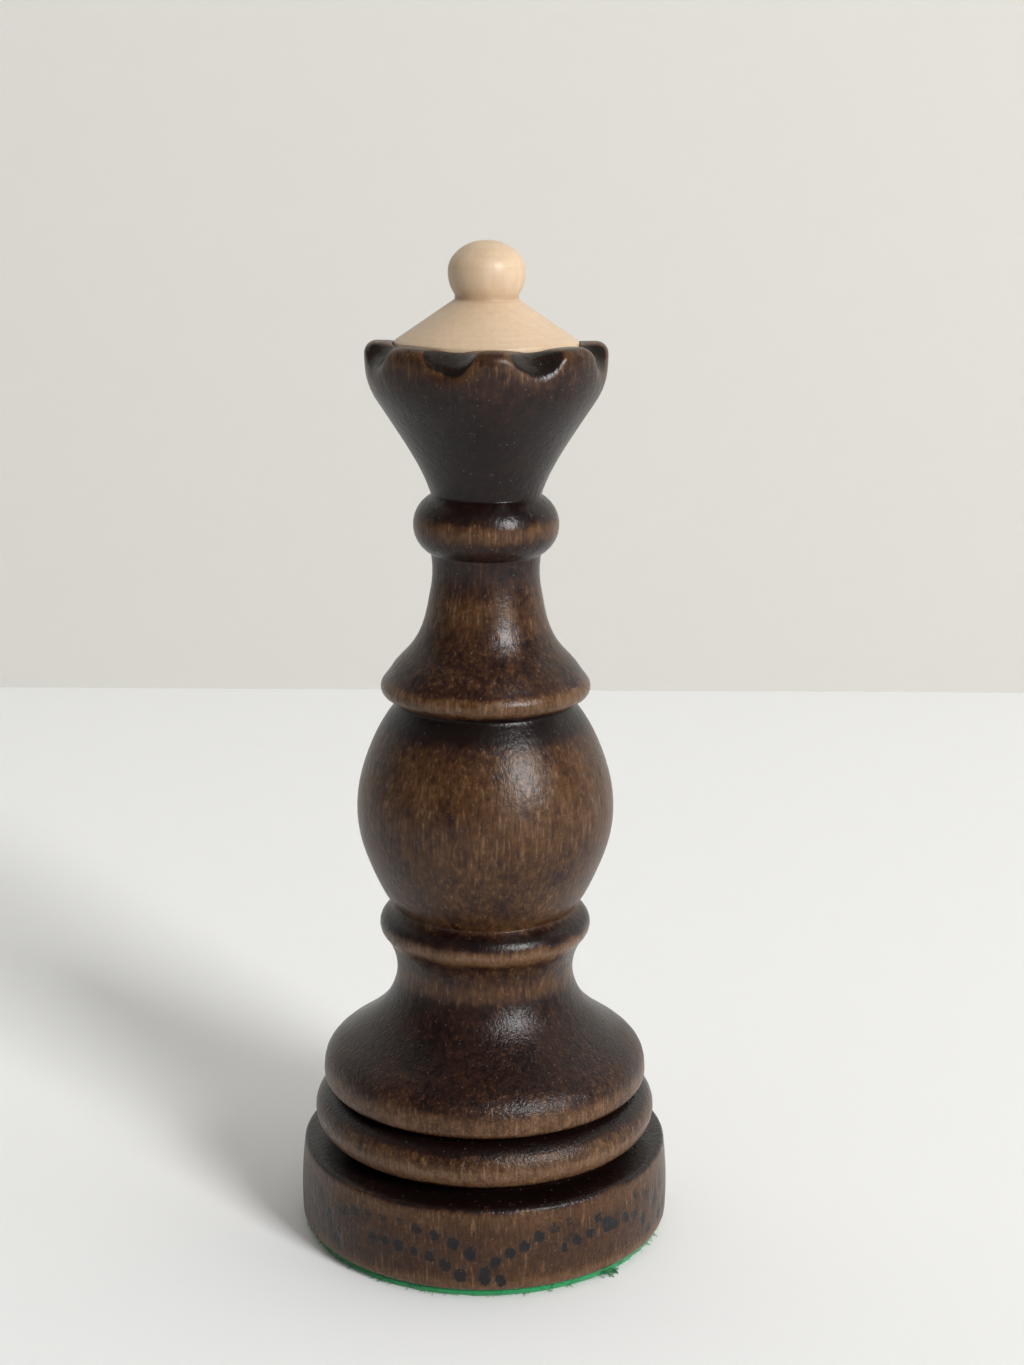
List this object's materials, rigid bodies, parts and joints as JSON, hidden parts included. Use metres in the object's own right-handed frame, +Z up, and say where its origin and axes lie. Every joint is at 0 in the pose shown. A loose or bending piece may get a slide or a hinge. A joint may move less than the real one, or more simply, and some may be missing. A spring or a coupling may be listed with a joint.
{
  "type": "chess queen",
  "caption": "Tall turned wooden chess queen with a scooped crown, a light wood finial, a ringed and domed foot, and a felt base.",
  "frame": {"origin": "middle of the felt's underside, where the queen stands on the board", "axes": "+Z up along the turning axis through the finial, -Y towards the front"},
  "size_m": [0.035, 0.035, 0.0925],
  "materials": {
    "stained_wood": "dark stained hardwood under satin lacquer",
    "natural_wood": "pale close-grained hardwood under thin satin lacquer",
    "weight_steel": "plain turned steel",
    "green_felt": "thin pressed wool felt"
  },
  "bodies": {
    "root": {"turned_body": "stained_wood", "finial": "natural_wood", "base_weight": "weight_steel", "base_felt": "green_felt"}
  },
  "joints": []
}
